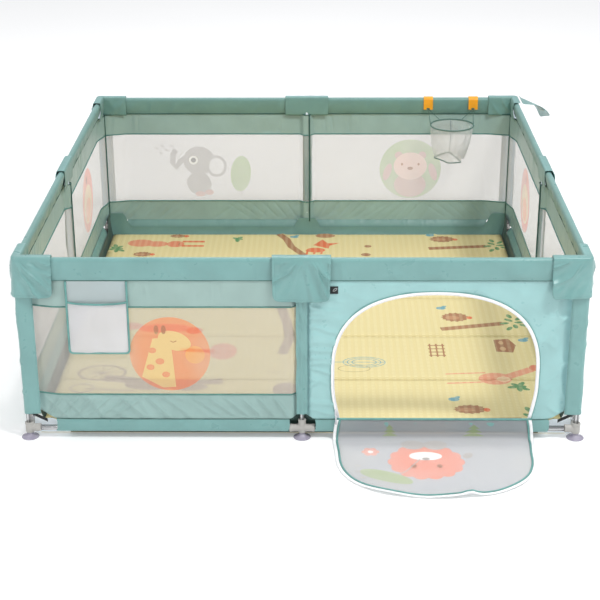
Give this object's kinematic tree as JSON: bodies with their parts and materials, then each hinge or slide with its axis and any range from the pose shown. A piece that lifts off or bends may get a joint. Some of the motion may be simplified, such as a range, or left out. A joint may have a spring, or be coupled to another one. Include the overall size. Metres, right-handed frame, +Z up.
{
  "type": "playpen",
  "caption": "Rectangular fabric playpen on a jointed tube frame, with netting walls, a zipped door flap, a folding floor mat and a small ball hoop.",
  "frame": {"origin": "middle of the pen's footprint on the floor, under the mat", "axes": "+Z up, +Y from the door wall to the back wall, +X to the right as seen from in front of the door wall"},
  "size_m": [2.0534, 2.455, 0.67],
  "materials": {
    "steel_tube": "bright galvanised steel tube",
    "connector": "light grey moulded plastic, fine matt grain",
    "suction_cup": "translucent grey vinyl, slightly glossy",
    "satin": "teal polyester satin, soft sheen, fine weave",
    "netting": "fine off-white knitted netting, see-through, with printed motifs",
    "mat": "pale yellow printed foam with embossed rows",
    "clip": "orange-yellow moulded plastic, smooth"
  },
  "bodies": {
    "frame": {"corner_post_front_left": "steel_tube", "middle_post_front": "steel_tube", "bottom_rail_front_1": "steel_tube", "bottom_rail_front_2": "steel_tube", "bottom_corner_front_left": "connector", "bottom_tee_front": "connector", "suction_cup_front_left": "suction_cup", "suction_cup_front": "suction_cup", "top_rail_front": "steel_tube", "net_cover_front": "netting", "corner_post_front_right": "steel_tube", "middle_post_right": "steel_tube", "bottom_rail_right_1": "steel_tube", "bottom_rail_right_2": "steel_tube", "bottom_corner_front_right": "connector", "bottom_tee_right": "connector", "suction_cup_front_right": "suction_cup", "suction_cup_right": "suction_cup", "top_rail_right": "steel_tube", "net_cover_right": "netting", "corner_post_back_right": "steel_tube", "middle_post_back": "steel_tube", "bottom_rail_back_1": "steel_tube", "bottom_rail_back_2": "steel_tube", "bottom_corner_back_right": "connector", "bottom_tee_back": "connector", "suction_cup_back_right": "suction_cup", "suction_cup_back": "suction_cup", "top_rail_back": "steel_tube", "net_cover_back": "netting", "corner_post_back_left": "steel_tube", "middle_post_left": "steel_tube", "bottom_rail_left_1": "steel_tube", "bottom_rail_left_2": "steel_tube", "bottom_corner_back_left": "connector", "bottom_tee_left": "connector", "suction_cup_back_left": "suction_cup", "suction_cup_left": "suction_cup", "top_rail_left": "steel_tube", "net_cover_left": "netting", "door_cover_front": "satin", "mat_panel_1": "mat"},
    "middle_cap_front": {"middle_cap_front": "satin"},
    "corner_cap_front_left": {"corner_cap_front_left": "satin"},
    "middle_cap_right": {"middle_cap_right": "satin"},
    "corner_cap_front_right": {"corner_cap_front_right": "satin"},
    "middle_cap_back": {"middle_cap_back": "satin"},
    "corner_cap_back_right": {"corner_cap_back_right": "satin"},
    "middle_cap_left": {"middle_cap_left": "satin"},
    "corner_cap_back_left": {"corner_cap_back_left": "satin"},
    "corner_flap": {"corner_flap_back_right": "satin"},
    "door_hem": {"door_flap_hem": "netting"},
    "door_main": {"door_flap": "netting"},
    "mat_2": {"mat_panel_2": "mat"},
    "mat_3": {"mat_panel_3": "mat"},
    "mat_4": {"mat_panel_4": "mat"},
    "mat_5": {"mat_panel_5": "mat"},
    "hoop_clips": {"hoop_clip_left": "clip", "hoop_clip_right": "clip"},
    "hoop": {"hoop_net": "netting"}
  },
  "joints": [
    {"name": "lift_middle_cap_front", "type": "hinge", "parent": "frame", "child": "middle_cap_front", "pos_m": [0, -0.996, 0.67], "axis": [-1, 0, 0], "range_deg": [0, 110]},
    {"name": "lift_corner_cap_front_left", "type": "hinge", "parent": "frame", "child": "corner_cap_front_left", "pos_m": [-0.94, -0.894, 0.67], "axis": [-1, 0, 0], "range_deg": [0, 100]},
    {"name": "lift_middle_cap_right", "type": "hinge", "parent": "frame", "child": "middle_cap_right", "pos_m": [0.926, 0, 0.67], "axis": [0, -1, 0], "range_deg": [0, 110]},
    {"name": "lift_corner_cap_front_right", "type": "hinge", "parent": "frame", "child": "corner_cap_front_right", "pos_m": [0.824, -1.01, 0.67], "axis": [0, -1, 0], "range_deg": [0, 100]},
    {"name": "lift_middle_cap_back", "type": "hinge", "parent": "frame", "child": "middle_cap_back", "pos_m": [0, 0.996, 0.67], "axis": [1, 0, 0], "range_deg": [0, 110]},
    {"name": "lift_corner_cap_back_right", "type": "hinge", "parent": "frame", "child": "corner_cap_back_right", "pos_m": [0.94, 0.894, 0.67], "axis": [1, 0, 0], "range_deg": [0, 100]},
    {"name": "lift_middle_cap_left", "type": "hinge", "parent": "frame", "child": "middle_cap_left", "pos_m": [-0.926, 0, 0.67], "axis": [0, 1, 0], "range_deg": [0, 110]},
    {"name": "lift_corner_cap_back_left", "type": "hinge", "parent": "frame", "child": "corner_cap_back_left", "pos_m": [-0.824, 1.01, 0.67], "axis": [0, 1, 0], "range_deg": [0, 100]},
    {"name": "fold_corner_flap", "type": "hinge", "parent": "corner_cap_back_right", "child": "corner_flap", "pos_m": [0.961, 0.96, 0.667], "axis": [0, -1, 0], "range_deg": [-57, 60]},
    {"name": "door_hem_fold", "type": "hinge", "parent": "frame", "child": "door_hem", "pos_m": [0.45, -1.02475, 0.076], "axis": [-1, 0, 0], "range_deg": [0, 180]},
    {"name": "door_flap_fold", "type": "hinge", "parent": "door_hem", "child": "door_main", "pos_m": [0.45, -1.02475, 0.00125], "axis": [-1, 0, 0], "range_deg": [-90, 0]},
    {"name": "mat_fold_1", "type": "hinge", "parent": "frame", "child": "mat_2", "pos_m": [0, -0.58705, 0.02], "axis": [1, 0, 0], "range_deg": [0, 85]},
    {"name": "mat_fold_2", "type": "hinge", "parent": "mat_2", "child": "mat_3", "pos_m": [0, -0.19585, 0], "axis": [1, 0, 0], "range_deg": [-170, 0]},
    {"name": "mat_fold_3", "type": "hinge", "parent": "mat_3", "child": "mat_4", "pos_m": [0, 0.19535, 0.02], "axis": [1, 0, 0], "range_deg": [0, 170]},
    {"name": "mat_fold_4", "type": "hinge", "parent": "mat_4", "child": "mat_5", "pos_m": [0, 0.58655, 0], "axis": [1, 0, 0], "range_deg": [-170, 0]},
    {"name": "hoop_slide", "type": "slide", "parent": "frame", "child": "hoop_clips", "axis": [1, 0, 0], "range_m": [-0.423, 0.042]},
    {"name": "hoop_swing", "type": "hinge", "parent": "hoop_clips", "child": "hoop", "pos_m": [0.653, 0.99425, 0.6125], "axis": [-1, 0, 0], "range_deg": [0, 45]}
  ],
  "couplings": [
    {"joint": "door_flap_fold", "follows": "door_hem_fold", "ratio": -0.5},
    {"joint": "mat_fold_2", "follows": "mat_fold_1", "ratio": -2},
    {"joint": "mat_fold_3", "follows": "mat_fold_1", "ratio": 2},
    {"joint": "mat_fold_4", "follows": "mat_fold_1", "ratio": -2}
  ]
}
